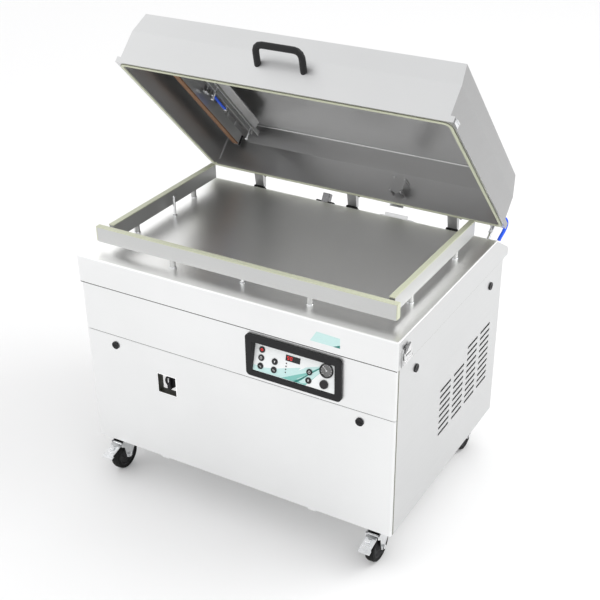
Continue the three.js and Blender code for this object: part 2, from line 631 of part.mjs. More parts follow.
{
  const [x0, x1, z0, z1] = [166, 220, 31, 93];
  const wall = LID_DEPTH - LID_SHEET - GAP;
  const cut = 15;
  const outline = polygon([[x0 + cut, z0], [x1 - cut, z0], [x1, z0 + cut], [x1, z1 - cut],
    [x1 - cut, z1], [x0 + cut, z1], [x0, z1 - cut], [x0, z0 + cut]]);
  const near = cut / 2 - 2;
  const studs = [[x0 + near, z0 + near], [x1 - near, z0 + near], [x0 + near, z1 - near], [x1 - near, z1 - near]];
  piece('baffle_plate', shape([
    backwards(outline, 756, 759),
    ...studs.map(([x, z]) => rod('y', 5.5, 752, wall, x, z, 12)),
  ]), CHROME, closed);
}

// Hinge frame: the shaft with its three lid arms.
{
  const sy = HINGE.y - LID_FRONT;
  const sz = HINGE.z - LID_REST;
  const wall = LID_DEPTH + GAP;
  const arm = polygon([[sy - 7, sz - 8], [sy + 7, sz - 8], [sy + 7, sz + 52], [wall + 14, 30],
    [wall + 14, 78], [wall, 78], [wall, 6], [sy - 7, sz + 42]]);
  piece('hinge_frame', shape([
    rod('x', 14, -584, 584, sy, sz, 32),
    ...ARM_X.map((x) => sideways(arm, x - ARM_WIDTH / 2, x + ARM_WIDTH / 2)),
  ]), STAINLESS, closed);
}

// ---- Gas strut from the chassis side to the lid's right back corner -------------------------
{
  const { x, y, z, length, tilt } = STRUT;
  const strut = groupAt(machine, x, y, z, tilt - Math.PI / 2);
  piece('gas_cylinder', shape([
    block(-8, 8, -11, 11, -11, 22),
    rod('z', 11, 18, 262, 0, 0),
  ], [
    rod('z', 7.1, 60, 270, 0, 0),
    rod('x', 5.4, -20, 20, 0, 0, 16),
  ]), BLACK, strut);
  piece('gas_rod', shape([
    rod('z', 6.5, 150, length - 20, 0, 0),
    block(-7, 7, -7, 7, length - 26, length - 18),
    block(-7, -4, -7, 7, length - 20, length + 7),
    block(4, 7, -7, 7, length - 20, length + 7),
  ]), CHROME, strut);
}

// ---- Vacuum pump with its motor, and the seal transformer, on the tray ----------------------
const trayTop = CHASSIS.low + CHASSIS.sheet + GAP;
piece('vacuum_pump', shape([
  block(-330, -80, 330, 540, trayTop, 370),
  block(-300, -110, 350, 520, 365, 430),
  rod('x', 88, -82, 140, 435, 265, 32),
  block(-40, 100, 375, 495, trayTop, 220),
  rod('z', 26, 425, 470, -205, 435),
]), CAST, machine);
piece('seal_transformer', shape([
  block(330, 500, 560, 680, trayTop, 300),
  block(350, 480, 545, 695, 200, 280),
]), CAST, machine);

// ---- Air hose from the back of the deck up to the lid ---------------------------------------
{
  const route = [[605, 885.6, 887.4], [608, 895, 903], [613, 915, 922],
    [614, 934, 939], [611, 939, 954], [603, 931, 968]];
  const path = new THREE.CatmullRomCurve3(route.map((p) => new THREE.Vector3(...p)));
  const section = new THREE.Shape();
  section.absarc(0, 0, 7, 0, 2 * Math.PI);
  const hose = new THREE.ExtrudeGeometry(section, { steps: 8, extrudePath: path, curveSegments: 5 });
  piece('lid_air_hose', hose, BLUE, machine);
}

// ---- Stand it on the floor with the origin under the middle of its box ----------------------
machine.updateMatrixWorld(true);
const bounds = new THREE.Box3().setFromObject(machine, true);
machine.position.set(-(bounds.min.x + bounds.max.x) / 2, -(bounds.min.y + bounds.max.y) / 2, -bounds.min.z);
machine.updateMatrixWorld(true);

export default machine;
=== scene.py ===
# %% [markdown]
# # A floor-standing chamber vacuum sealer
# The machine is folded stainless sheet: a cabinet on four casters, a flat deck with sealing bars
# round it, and a deep lid held open by a gas strut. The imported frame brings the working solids.
# Here they get their finishes, and the small parts that a workshop would bolt on afterwards.

# %% Load the frame and take its size
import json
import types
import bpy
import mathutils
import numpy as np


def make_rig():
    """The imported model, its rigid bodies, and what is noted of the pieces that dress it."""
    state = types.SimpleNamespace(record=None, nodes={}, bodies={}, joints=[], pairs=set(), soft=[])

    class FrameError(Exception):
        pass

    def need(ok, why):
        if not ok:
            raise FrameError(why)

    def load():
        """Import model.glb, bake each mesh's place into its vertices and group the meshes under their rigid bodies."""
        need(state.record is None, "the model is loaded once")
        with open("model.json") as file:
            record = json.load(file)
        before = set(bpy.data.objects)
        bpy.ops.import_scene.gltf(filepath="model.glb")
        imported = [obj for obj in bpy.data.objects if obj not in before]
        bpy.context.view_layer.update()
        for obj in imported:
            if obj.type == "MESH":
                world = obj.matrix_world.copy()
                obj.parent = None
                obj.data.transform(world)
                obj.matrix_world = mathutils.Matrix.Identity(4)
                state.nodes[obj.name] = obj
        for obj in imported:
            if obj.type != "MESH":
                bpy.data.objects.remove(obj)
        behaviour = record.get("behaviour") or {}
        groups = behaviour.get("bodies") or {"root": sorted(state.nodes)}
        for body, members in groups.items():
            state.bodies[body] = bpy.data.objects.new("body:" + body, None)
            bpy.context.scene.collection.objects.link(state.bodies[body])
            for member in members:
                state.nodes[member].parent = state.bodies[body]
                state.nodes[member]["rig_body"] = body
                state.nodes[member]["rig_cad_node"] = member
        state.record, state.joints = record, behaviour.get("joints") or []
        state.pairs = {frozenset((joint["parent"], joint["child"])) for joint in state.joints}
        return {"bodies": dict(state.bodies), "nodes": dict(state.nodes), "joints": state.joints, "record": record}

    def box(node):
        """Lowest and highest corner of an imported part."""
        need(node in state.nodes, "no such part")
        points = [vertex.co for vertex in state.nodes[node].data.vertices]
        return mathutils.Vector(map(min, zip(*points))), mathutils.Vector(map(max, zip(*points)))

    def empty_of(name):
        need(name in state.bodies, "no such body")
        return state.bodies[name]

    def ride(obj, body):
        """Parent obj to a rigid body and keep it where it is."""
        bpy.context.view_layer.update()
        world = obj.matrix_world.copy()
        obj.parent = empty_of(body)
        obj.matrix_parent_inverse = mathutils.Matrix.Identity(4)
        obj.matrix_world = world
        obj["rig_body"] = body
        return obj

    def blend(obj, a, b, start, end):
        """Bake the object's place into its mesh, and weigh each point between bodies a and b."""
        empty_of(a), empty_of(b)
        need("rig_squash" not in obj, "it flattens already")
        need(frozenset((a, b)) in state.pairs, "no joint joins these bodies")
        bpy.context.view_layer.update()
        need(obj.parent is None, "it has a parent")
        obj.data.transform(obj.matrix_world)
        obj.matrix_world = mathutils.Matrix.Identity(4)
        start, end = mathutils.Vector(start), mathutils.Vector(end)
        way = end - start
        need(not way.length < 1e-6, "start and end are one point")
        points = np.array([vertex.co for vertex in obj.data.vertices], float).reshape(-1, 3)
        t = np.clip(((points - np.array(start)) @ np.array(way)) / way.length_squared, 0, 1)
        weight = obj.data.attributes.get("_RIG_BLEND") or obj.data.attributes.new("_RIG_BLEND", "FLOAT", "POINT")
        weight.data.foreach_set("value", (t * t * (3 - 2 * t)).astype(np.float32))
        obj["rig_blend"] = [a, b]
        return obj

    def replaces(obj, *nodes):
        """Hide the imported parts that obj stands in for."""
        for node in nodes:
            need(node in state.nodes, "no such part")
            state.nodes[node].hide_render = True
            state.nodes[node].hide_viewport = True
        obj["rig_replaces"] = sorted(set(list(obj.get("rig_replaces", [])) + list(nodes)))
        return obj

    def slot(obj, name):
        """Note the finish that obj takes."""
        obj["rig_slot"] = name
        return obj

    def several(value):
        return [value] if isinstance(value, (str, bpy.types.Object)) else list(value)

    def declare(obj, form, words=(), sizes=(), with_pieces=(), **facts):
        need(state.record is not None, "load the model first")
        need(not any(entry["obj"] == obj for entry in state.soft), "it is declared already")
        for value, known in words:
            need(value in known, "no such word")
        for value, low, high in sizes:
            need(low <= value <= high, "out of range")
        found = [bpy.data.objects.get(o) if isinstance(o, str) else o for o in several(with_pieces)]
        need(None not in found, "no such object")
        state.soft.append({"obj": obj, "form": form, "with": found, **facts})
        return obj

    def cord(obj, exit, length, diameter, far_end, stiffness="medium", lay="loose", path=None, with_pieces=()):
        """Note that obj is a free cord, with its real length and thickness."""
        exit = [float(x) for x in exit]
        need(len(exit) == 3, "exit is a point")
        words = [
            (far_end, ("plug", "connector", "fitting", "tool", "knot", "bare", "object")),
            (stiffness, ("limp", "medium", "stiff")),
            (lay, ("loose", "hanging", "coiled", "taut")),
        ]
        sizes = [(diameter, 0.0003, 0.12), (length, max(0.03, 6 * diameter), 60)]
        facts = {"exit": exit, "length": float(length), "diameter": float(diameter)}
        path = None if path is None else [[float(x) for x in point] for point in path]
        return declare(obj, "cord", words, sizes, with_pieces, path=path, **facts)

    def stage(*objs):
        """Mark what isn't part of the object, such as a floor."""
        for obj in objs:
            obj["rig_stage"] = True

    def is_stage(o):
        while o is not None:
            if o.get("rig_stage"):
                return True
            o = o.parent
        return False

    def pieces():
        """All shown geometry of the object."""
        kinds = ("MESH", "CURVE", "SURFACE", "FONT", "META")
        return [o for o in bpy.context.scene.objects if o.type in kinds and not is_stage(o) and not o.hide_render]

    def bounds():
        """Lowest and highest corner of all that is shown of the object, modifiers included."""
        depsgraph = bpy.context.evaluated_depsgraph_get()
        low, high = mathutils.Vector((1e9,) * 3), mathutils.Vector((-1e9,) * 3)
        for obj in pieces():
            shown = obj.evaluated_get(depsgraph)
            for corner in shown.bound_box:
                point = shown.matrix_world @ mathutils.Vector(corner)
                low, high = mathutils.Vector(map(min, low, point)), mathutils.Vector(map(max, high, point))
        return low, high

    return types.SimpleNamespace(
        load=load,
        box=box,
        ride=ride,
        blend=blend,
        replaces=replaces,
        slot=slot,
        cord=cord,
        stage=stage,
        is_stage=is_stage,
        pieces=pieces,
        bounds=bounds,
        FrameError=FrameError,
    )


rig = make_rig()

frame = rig.load()

import json
import math
import bmesh
import bpy
from mathutils import Matrix, Vector

cad_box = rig.bounds()
nodes = frame["nodes"]
print("frame box", [[round(v, 3) for v in corner] for corner in cad_box])

# %% [markdown]
# Everything on the real machine is dimensioned from three places: the front of the deck for the
# cabinet, the rim of the closed lid for whatever hangs in the lid, and the sloped face of the
# console for its keys. One matrix for each place lets every piece be written in workshop
# millimetres. The matrices are baked into the meshes, so each object's own origin stays at the
# row frame and grain textures run on from one sheet to the next.

# %% Three places to measure from
MM = 0.001
deck_low, deck_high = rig.box("deck_plate")
CENTRE_X = (deck_low.x + deck_high.x) / 2
APRON_FRONT = deck_low.y
OPEN = math.radians(46)
HINGE_Y, HINGE_Z = 864.8, 865.6
DECK_TOP = 930
LID_FRONT, LID_REST = 2, 934.5
LID_DEPTH, LID_HALF = 808, 634
FASCIA_TILT = math.atan2(29, 112)
FASCIA_FOOT = (251.5, -1, 670)
SLOPE_START, SLOPE_RUN, SLOPE_DROP = 812, 110, 66

machine = Matrix.Translation((CENTRE_X, APRON_FRONT, 0)) @ Matrix.Scale(MM, 4)
hinge = Matrix.Translation((0, HINGE_Y, HINGE_Z))
in_lid = (machine @ hinge @ Matrix.Rotation(-OPEN, 4, "X") @ hinge.inverted()
          @ Matrix.Translation((0, LID_FRONT, LID_REST)))
on_fascia = (machine @ Matrix.Translation(FASCIA_FOOT)
             @ Matrix.Rotation(math.pi / 2 - FASCIA_TILT, 4, "X"))
to_lid = in_lid.inverted()
print("deck front at", round(APRON_FRONT, 4), "centre at", round(CENTRE_X, 4))

# %% [markdown]
# The camera comes first, because all judging is done through it. It stands to the right of the
# machine, above head height and a good four metres off, with a portrait lens, so the cabinet's
# uprights draw together only slightly towards the floor.

# %% Camera
AZIMUTH, ELEVATION, ROLL = (math.radians(a) for a in (29.99, 30.5, -0.5))
back = Vector((math.sin(AZIMUTH) * math.cos(ELEVATION), -math.cos(AZIMUTH) * math.cos(ELEVATION),
               math.sin(ELEVATION)))
level = Vector((math.cos(AZIMUTH), math.sin(AZIMUTH), 0))
rise = back.cross(level)
right = level * math.cos(ROLL) + rise * math.sin(ROLL)
up = rise * math.cos(ROLL) - level * math.sin(ROLL)
camera_data = bpy.data.cameras.new("camera")
camera_data.lens, camera_data.sensor_width = 68.44, 36
camera_data.shift_x, camera_data.shift_y = -0.0113, 0.0546
camera = bpy.data.objects.new("camera", camera_data)
spot = machine @ Vector((1876.2, -2722, 2725.4))
camera.matrix_world = Matrix(((right.x, up.x, back.x, spot.x), (right.y, up.y, back.y, spot.y),
                              (right.z, up.z, back.z, spot.z), (0, 0, 0, 1)))
bpy.context.scene.collection.objects.link(camera)
bpy.context.scene.camera = camera
print("camera at", [round(v, 2) for v in spot])

# %% [markdown]
# Finishes. Brushed steel is a metal whose roughness changes along fine parallel scratches, so a
# noise texture is stretched 160 times along the grain and drives both the roughness and a very
# shallow bump. A second, slower noise gives the faint clouding that handling leaves.

# %% A helper that starts a material, and one that adds a stretched noise
def new_material(name, colour, roughness, metallic=0.0):
    material = bpy.data.materials.new(name)
    material.use_nodes = True
    shader = material.node_tree.nodes["Principled BSDF"]
    shader.inputs["Base Color"].default_value = (*colour, 1)
    shader.inputs["Roughness"].default_value = roughness
    shader.inputs["Metallic"].default_value = metallic
    return material, shader


def noise(material, scale, detail=3.0, size=1.0):
    tree = material.node_tree
    place = tree.nodes.new("ShaderNodeTexCoord")
    stretch = tree.nodes.new("ShaderNodeMapping")
    stretch.inputs["Scale"].default_value = scale
    texture = tree.nodes.new("ShaderNodeTexNoise")
    texture.inputs["Scale"].default_value = size
    texture.inputs["Detail"].default_value = detail
    tree.links.new(place.outputs["Object"], stretch.inputs["Vector"])
    tree.links.new(stretch.outputs["Vector"], texture.inputs["Vector"])
    return texture.outputs["Fac"]


def spread(material, value, low, high):
    tree = material.node_tree
    remap = tree.nodes.new("ShaderNodeMapRange")
    remap.inputs["From Min"].default_value = 0.3
    remap.inputs["From Max"].default_value = 0.7
    remap.inputs["To Min"].default_value = low
    remap.inputs["To Max"].default_value = high
    tree.links.new(value, remap.inputs["Value"])
    return remap.outputs["Result"]


def tint(material, shader, value, dark, light):
    tree = material.node_tree
    ramp = tree.nodes.new("ShaderNodeValToRGB")
    ramp.color_ramp.elements[0].position, ramp.color_ramp.elements[1].position = 0.3, 0.7
    ramp.color_ramp.elements[0].color = (*dark, 1)
    ramp.color_ramp.elements[1].color = (*light, 1)
    tree.links.new(value, ramp.inputs["Fac"])
    tree.links.new(ramp.outputs["Color"], shader.inputs["Base Color"])


def bump(material, shader, value, strength, distance):
    tree = material.node_tree
    relief = tree.nodes.new("ShaderNodeBump")
    relief.inputs["Strength"].default_value = strength
    relief.inputs["Distance"].default_value = distance
    tree.links.new(value, relief.inputs["Height"])
    tree.links.new(relief.outputs["Normal"], shader.inputs["Normal"])


# %% Brushed steels
def brushed(name, colour, roughness, grain, relief=0.08):
    material, shader = new_material(name, colour, roughness[0], 1.0)
    scratches = noise(material, grain, 4.0)
    tree = material.node_tree
    tree.links.new(spread(material, scratches, *roughness), shader.inputs["Roughness"])
    tint(material, shader, noise(material, (2.5, 2.5, 2.5)), [c * 0.965 for c in colour], colour)
    bump(material, shader, scratches, relief, 0.0004)
    return material


ALONG_X = (5, 800, 800)
ALONG_Y = (800, 5, 800)
cabinet_steel = brushed("satin stainless, brushed across", (0.86, 0.865, 0.865), (0.34, 0.44), ALONG_X)
# A darker copy of the stainless for faces that look sideways: painted shade, with the grain turned front to back.
side_steel = brushed("satin stainless, brushed front to back", (0.65, 0.655, 0.655), (0.34, 0.44), ALONG_Y)
# The deck's top takes a lighter copy with a smoother brush: the brush is its finish, the lighter colour is painted
# light.
deck_steel_painted_light = brushed("painted lighter steel for the deck", (0.92, 0.92, 0.91), (0.3, 0.38), ALONG_X, 0.03)
lid_outer_steel = brushed("lid steel outside", (0.7, 0.705, 0.705), (0.34, 0.42), ALONG_X)
# The lid's sides and inside take darker copies of its steel: painted shade.
lid_sides_painted_shade = brushed("lid steel, painted shade at the sides", (0.4, 0.4, 0.4), (0.34, 0.42), ALONG_Y)
lid_inside_painted_shade = brushed("lid steel, painted shade inside", (0.5, 0.5, 0.5), (0.32, 0.4), ALONG_X, 0.03)
anodised = brushed("anodised bar", (0.6, 0.605, 0.6), (0.36, 0.46), ALONG_X, 0.04)
# A darker copy of the anodised finish for the left bar: painted shade.
anodised_painted_shade = brushed("anodised bar, painted shade on the left", (0.46, 0.463, 0.46), (0.36, 0.46), ALONG_Y, 0.04)
print("steels made")

# %% [markdown]
# The other finishes: bright plating, moulded plastic with a fine spark-eroded grain, pale
# silicone, the brown woven glass tape over the heating wire, the glossy blue air hose, the
# printed console film and painted castings inside the cabinet.

# %% Plating, plastics, rubbers and print
def grained(name, colour, roughness, grain=900, relief=0.15, distance=0.0002, metallic=0.0, gloss=0.5):
    material, shader = new_material(name, colour, roughness, metallic)
    shader.inputs["Specular IOR Level"].default_value = gloss
    speck = noise(material, (grain, grain, grain), 2.0)
    tint(material, shader, speck, [c * 0.88 for c in colour], colour)
    worn = spread(material, speck, roughness * 0.85, min(roughness * 1.15, 1))
    material.node_tree.links.new(worn, shader.inputs["Roughness"])
    bump(material, shader, speck, relief, distance)
    return material


chrome = grained("bright plating", (0.82, 0.83, 0.84), 0.14, 60, 0.03, 0.0003, 1.0)
black_plastic = grained("black moulded plastic", (0.012, 0.012, 0.013), 0.5, gloss=0.25)
gloss_black = grained("black gloss", (0.006, 0.006, 0.007), 0.12, 80, 0.02)
tyre_rubber = grained("wheel rubber", (0.006, 0.006, 0.006), 0.7, 700, gloss=0.2)
hub_plastic = grained("black wheel centre", (0.016, 0.016, 0.017), 0.5, 500, gloss=0.25)
silicone = grained("pale silicone", (0.6, 0.62, 0.47), 0.5, 400, 0.1)
# Dark grey for the lip round the gasket and the beads in the corner gaps: painted shade.
painted_shade_grey = grained("dark grey, painted shade at lips and gaps", (0.16, 0.16, 0.11), 0.6, 400, 0.1)
hose_blue = grained("blue hose", (0.004, 0.09, 0.78), 0.22, 300, 0.05)
film = grained("console film", (0.88, 0.9, 0.9), 0.4, 1400, 0.05)
pale_teal = grained("pale teal print", (0.56, 0.78, 0.76), 0.4, 900, 0.03)
mid_teal = grained("teal print", (0.2, 0.52, 0.47), 0.4, 900, 0.03)
dark_teal = grained("dark teal print", (0.01, 0.2, 0.17), 0.4, 900, 0.03)
white_print = grained("white print", (0.8, 0.8, 0.8), 0.5, 900, 0.02)
casting = grained("painted casting", (0.12, 0.14, 0.16), 0.5, 120, 0.3, 0.0006)
# The plate behind the main switch is pale; its faint glow is painted light.
recess_back_painted_glow = grained("pale plate behind the switch, painted glow", (0.9, 0.9, 0.9), 0.5)
recess_back_painted_glow.node_tree.nodes["Principled BSDF"].inputs["Emission Color"].default_value = (1, 1, 1, 1)
recess_back_painted_glow.node_tree.nodes["Principled BSDF"].inputs["Emission Strength"].default_value = 0.4
# Near black for the walls of the switch recess: painted shade.
recess_wall_painted_shade = grained("recess wall, painted shade", (0.02, 0.02, 0.012), 0.6, 500)
# Near black for the gaps between sheets and behind the vents: painted shadow.
painted_shadow_black = grained("black, painted shadow in the joints", (0.004, 0.004, 0.004), 0.9)
latch_satin = grained("satin plated catch", (0.74, 0.74, 0.74), 0.4, 80, 0.05, 0.0003, 0.75)
hinge_metal = grained("cast alloy hinge", (0.5, 0.5, 0.5), 0.45, 120, 0.2, 0.0004, 0.55)
# A dark plating, used on the lid switch, and on the latch hook's tip as a painted dark reflection.
dark_plating_and_painted_reflection = grained("dark plating, painted dark reflection on the catch", (0.2, 0.2, 0.205), 0.25, 60, 0.05, 0.0003, 1.0)
dial_grey = grained("dial card", (0.2, 0.2, 0.2), 0.45, 900, 0.03)


def woven_tape():
    material, shader = new_material("brown woven tape", (0.3, 0.16, 0.08), 0.5)
    tree = material.node_tree
    place = tree.nodes.new("ShaderNodeTexCoord")
    weave = tree.nodes.new("ShaderNodeTexWave")
    weave.inputs["Scale"].default_value = 260
    weave.inputs["Distortion"].default_value = 1.5
    tree.links.new(place.outputs["Object"], weave.inputs["Vector"])
    tint(material, shader, weave.outputs["Fac"], (0.22, 0.11, 0.055), (0.36, 0.2, 0.11))
    bump(material, shader, weave.outputs["Fac"], 0.2, 0.0003)
    return material


def lit(name, colour, strength):
    material, shader = new_material(name, colour, 0.4)
    shader.inputs["Emission Color"].default_value = (*colour, 1)
    shader.inputs["Emission Strength"].default_value = strength
    return material


tape_brown = woven_tape()
lit_red = lit("lit red", (0.75, 0.01, 0.01), 0.9)
glass, glass_shader = new_material("clear cover", (1, 1, 1), 0.03)
glass_shader.inputs["Transmission Weight"].default_value = 1.0
glass_shader.inputs["IOR"].default_value = 1.1
print("other finishes made:", len(bpy.data.materials))

# %% [markdown]
# Making solids. Four helpers cover the machine's small parts: a block with eased edges, a turned
# part, a bent tube and a flat plate cut to an outline. Building the meshes from numbers keeps
# each part to the few faces that it needs, and one bevel modifier eases its edges where that
# shows. Each helper takes the place that its numbers are measured from, and bakes that into the
# mesh.

# %% Helpers for mesh pieces
def make(name, mesh_data, place, material, body, slot, ease=0.0, smooth=35):
    mesh = bpy.data.meshes.new(name)
    mesh_data.to_mesh(mesh)
    mesh_data.free()
    mesh.transform(place)
    mesh.materials.append(material)
    piece = bpy.data.objects.new(name, mesh)
    bpy.context.scene.collection.objects.link(piece)
    soften(piece, ease, smooth)
    if body:
        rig.ride(piece, body)
    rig.slot(piece, slot)
    return piece


def soften(piece, ease, smooth=35):
    if ease:
        edge = piece.modifiers.new("eased edges", "BEVEL")
        edge.width = ease * MM
        edge.segments = 2
        edge.limit_method = "ANGLE"
        edge.angle_limit = math.radians(30)
    for face in piece.data.polygons:
        face.use_smooth = True
    piece.data.set_sharp_from_angle(angle=math.radians(smooth))


def block(name, low, high, place, material, body, slot, ease=0.8):
    shape = bmesh.new()
    bmesh.ops.create_cube(shape, size=1)
    middle = [(a + b) / 2 for a, b in zip(low, high)]
    size = [b - a for a, b in zip(low, high)]
    for corner in shape.verts:
        corner.co = [m + s * c for m, s, c in zip(middle, size, corner.co)]
    return make(name, shape, place, material, body, slot, ease)


def turned(name, profile, place, material, body, slot, sides=32, ease=0.0):
    """A profile of (radius, height) pairs turned about the local z axis."""
    shape = bmesh.new()
    rings = []
    for radius, height in profile:
        if radius == 0:
            rings.append([shape.verts.new((0, 0, height))])
            continue
        ring = []
        for i in range(sides):
            angle = 2 * math.pi * i / sides
            ring.append(shape.verts.new((radius * math.cos(angle), radius * math.sin(angle), height)))
        rings.append(ring)
    for lower, upper in zip(rings, rings[1:]):
        for i in range(sides):
            j = (i + 1) % sides
            corners = [lower[i % len(lower)], lower[j % len(lower)],
                       upper[j % len(upper)], upper[i % len(upper)]]
            corners = list(dict.fromkeys(corners))
            if len(corners) > 2:
                shape.faces.new(corners)
    bmesh.ops.recalc_face_normals(shape, faces=shape.faces)
    return make(name, shape, place, material, body, slot, ease)


def plate(name, outline, low, high, place, material, body, slot, ease=0.0):
    """An outline of (x, y) points given a thickness along the local z axis."""
    shape = bmesh.new()
    bottom = [shape.verts.new((x, y, low)) for x, y in outline]
    top = [shape.verts.new((x, y, high)) for x, y in outline]
    shape.faces.new(reversed(bottom))
    shape.faces.new(top)
    for i in range(len(outline)):
        j = (i + 1) % len(outline)
        shape.faces.new((bottom[i], bottom[j], top[j], top[i]))
    bmesh.ops.recalc_face_normals(shape, faces=shape.faces)
    return make(name, shape, place, material, body, slot, ease)


def smooth_line(points, steps):
    """Points along a smooth curve through the given ones."""
    points = [Vector(p) for p in points]
    ends = [2 * points[0] - points[1]] + points + [2 * points[-1] - points[-2]]
    line = []
    for a, b, c, d in zip(ends, ends[1:], ends[2:], ends[3:]):
        for step in range(steps):
            t = step / steps
            line.append(0.5 * (2 * b + (c - a) * t + (2 * a - 5 * b + 4 * c - d) * t ** 2
                               + (3 * b - a - 3 * c + d) * t ** 3))
    return line + [points[-1]]


def tube(name, line, radius, place, material, body, slot, sides=16):
    shape = bmesh.new()
    line = [Vector(p) for p in line]
    side = (line[1] - line[0]).orthogonal().normalized()
    rings = []
    for i, point in enumerate(line):
        heading = (line[min(i + 1, len(line) - 1)] - line[max(i - 1, 0)]).normalized()
        side = (side - heading * side.dot(heading)).normalized()
        other = heading.cross(side)
        rings.append([shape.verts.new(point + radius * (side * math.cos(2 * math.pi * k / sides)
                                                        + other * math.sin(2 * math.pi * k / sides)))
                      for k in range(sides)])
    for lower, upper in zip(rings, rings[1:]):
        for k in range(sides):
            shape.faces.new((lower[k], lower[(k + 1) % sides], upper[(k + 1) % sides], upper[k]))
    shape.faces.new(reversed(rings[0]))
    shape.faces.new(rings[-1])
    bmesh.ops.recalc_face_normals(shape, faces=shape.faces)
    return make(name, shape, place, material, body, slot, 0, 60)


def facing(axis, x, y, z, place=machine):
    """A place at (x, y, z) whose local z axis points along the named axis."""
    turn = {"+x": Matrix.Rotation(math.pi / 2, 4, "Y"), "-x": Matrix.Rotation(-math.pi / 2, 4, "Y"),
            "+y": Matrix.Rotation(-math.pi / 2, 4, "X"), "-y": Matrix.Rotation(math.pi / 2, 4, "X"),
            "+z": Matrix.Identity(4), "-z": Matrix.Rotation(math.pi, 4, "X")}[axis]
    return place @ Matrix.Translation((x, y, z)) @ turn


def bolt(name, axis, x, y, z, body, radius=4.0, height=2.6, place=machine, material=None):
    profile = [(0, 0), (radius, 0), (radius, height * 0.55), (radius * 0.72, height), (radius * 0.42, height),
               (radius * 0.42, height * 0.45), (0, height * 0.45)]
    return turned(name, profile, facing(axis, x, y, z, place), material or chrome, body, "chrome", 20)


print("helpers ready")

# %% [markdown]
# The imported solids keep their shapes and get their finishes. Most of them also get a small bevel
# modifier, a millimetre or less on sheet: folded steel never has a razor edge, and the narrow
# highlight along a fold is what tells the eye that it is metal.

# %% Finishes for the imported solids
def dress(node, material, ease=0.0, smooth=35):
    piece = nodes[node]
    piece.data.materials.clear()
    piece.data.materials.append(material)
    soften(piece, ease, smooth)


for node, ease in (("front_upper_panel", 1.0), ("front_lower_panel", 1.0), ("rear_panel", 0.5),
                   ("chassis", 0), ("switch_plate", 0.5)):
    dress(node, cabinet_steel, ease)
# The side panels take the darker copy of the stainless: painted shade.
for node in ("right_panel", "left_panel"):
    dress(node, side_steel, 0.5)
dress("deck_plate", cabinet_steel, 0)
dress("hinge_frame", hinge_metal, 0.6)
dress("lid_gasket", silicone, 0.8)
dress("lid_air_hose", hose_blue)
for side in ("front", "left", "right"):
    # The left bar takes the darker copy: painted shade.
    dress(f"counter_bar_{side}", anodised_painted_shade if side == "left" else anodised, 0.6)
    dress(f"silicone_strip_{side}", silicone, 0.8)
    dress(f"seal_bar_{side}", anodised, 0.6)
PLATED = ("caster_fork", "brake_pedal", "latch", "gas_rod", "lid_keeper", "baffle_plate")
MOULDED = ("panel_lock", "gas_cylinder", "control_bezel", "gauge_case", "switch_knob")
for node in nodes:
    if node.startswith(PLATED):
        dress(node, chrome, 0.4)
    if node.startswith(MOULDED):
        dress(node, black_plastic, 0.6)
    if node.startswith("key_") or node == "stop_button":
        dress(node, gloss_black, 1.0)
    if node in ("vacuum_pump", "seal_transformer"):
        dress(node, casting, 2.0)
dress("baffle_plate", lid_inside_painted_shade, 0.4)
dress("lid_handle", black_plastic, 0, 60)
dress("gauge_needle", white_print)
dress("control_fascia", film)

# %% [markdown]
# One folded sheet can show more than one finish, and painted light and shade as well. The deck's top
# and slope have a smoother brush than its apron and are painted lighter; its sides are brushed from
# front to back and painted darker, as shade; and the lid is painted darker inside and at its sides,
# as shade. Cutting the sheet up would leave false joints, so the faces are sorted by where they lie
# or which way they face, and pointed at a second or third material. The recess of the main switch
# is sorted in the same way into a back that glows faintly, painted light, and near-black walls,
# painted shade.

# %% Finishes, painted light and painted shade on the deck, the switch recess and the lid
SLOPE_AND_TOP = 850
deck = nodes["deck_plate"]
deck.data.materials.append(deck_steel_painted_light)
deck.data.materials.append(side_steel)
for face in deck.data.polygons:
    # Level faces of the top and slope take the lighter copy: painted light.
    if face.normal.z > 0.75 and (machine.inverted() @ face.center).z > SLOPE_AND_TOP:
        face.material_index = 1
    # Sideways faces of the deck take the darker copy: painted shade.
    elif abs(face.normal.x) > 0.8:
        face.material_index = 2

recess = nodes["switch_plate"]
# The back plate of the recess glows faintly: painted light.
recess.data.materials[0] = recess_back_painted_glow
# The walls of the recess are near black: painted shade.
recess.data.materials.append(recess_wall_painted_shade)
for face in recess.data.polygons:
    if abs(face.normal.y) < 0.5:
        face.material_index = 1

shell = nodes["lid_shell"]
dress("lid_shell", lid_outer_steel, 0)
shell.data.materials.append(lid_inside_painted_shade)
shell.data.materials.append(lid_sides_painted_shade)
ROOF_FOLD, LEAN_RUN, LEAN_RISE = 124, 14, 80
HOLLOW_HALF, HOLLOW_FRONT, HOLLOW_BACK, HOLLOW_LOW, HOLLOW_HIGH = 617, 2, 806, 0.5, 202.5
inside = 0
# Faces in the hollow take the inside copy of the lid steel: painted shade.
for face in shell.data.polygons:
    x, depth, height = to_lid @ face.center
    lean = max(0, height - ROOF_FOLD) * LEAN_RUN / LEAN_RISE
    if (abs(x) < HOLLOW_HALF - lean and HOLLOW_FRONT + lean < depth < HOLLOW_BACK - lean
            and HOLLOW_LOW < height < HOLLOW_HIGH):
        face.material_index = 1
        inside += 1
    # Sideways faces take the side copy: painted shade.
    elif abs(face.normal.x) > 0.8:
        face.material_index = 2
print("lid faces inside:", inside)

# %% [markdown]
# The lid's hollow. A sealing bar hangs in the lid on each side and along the front. Its lower face
# carries the heating wire under brown woven tape. The left bar also gets the folded holder and
# the guide pins that it hangs from, because that holder is the one in view; the others are not
# drawn. A short blue air hose runs beside it, and a bead of weld closes the seam between the roof
# and the back. All of it is drawn with the lid closed and level, and one matrix carries it up
# with the lid.

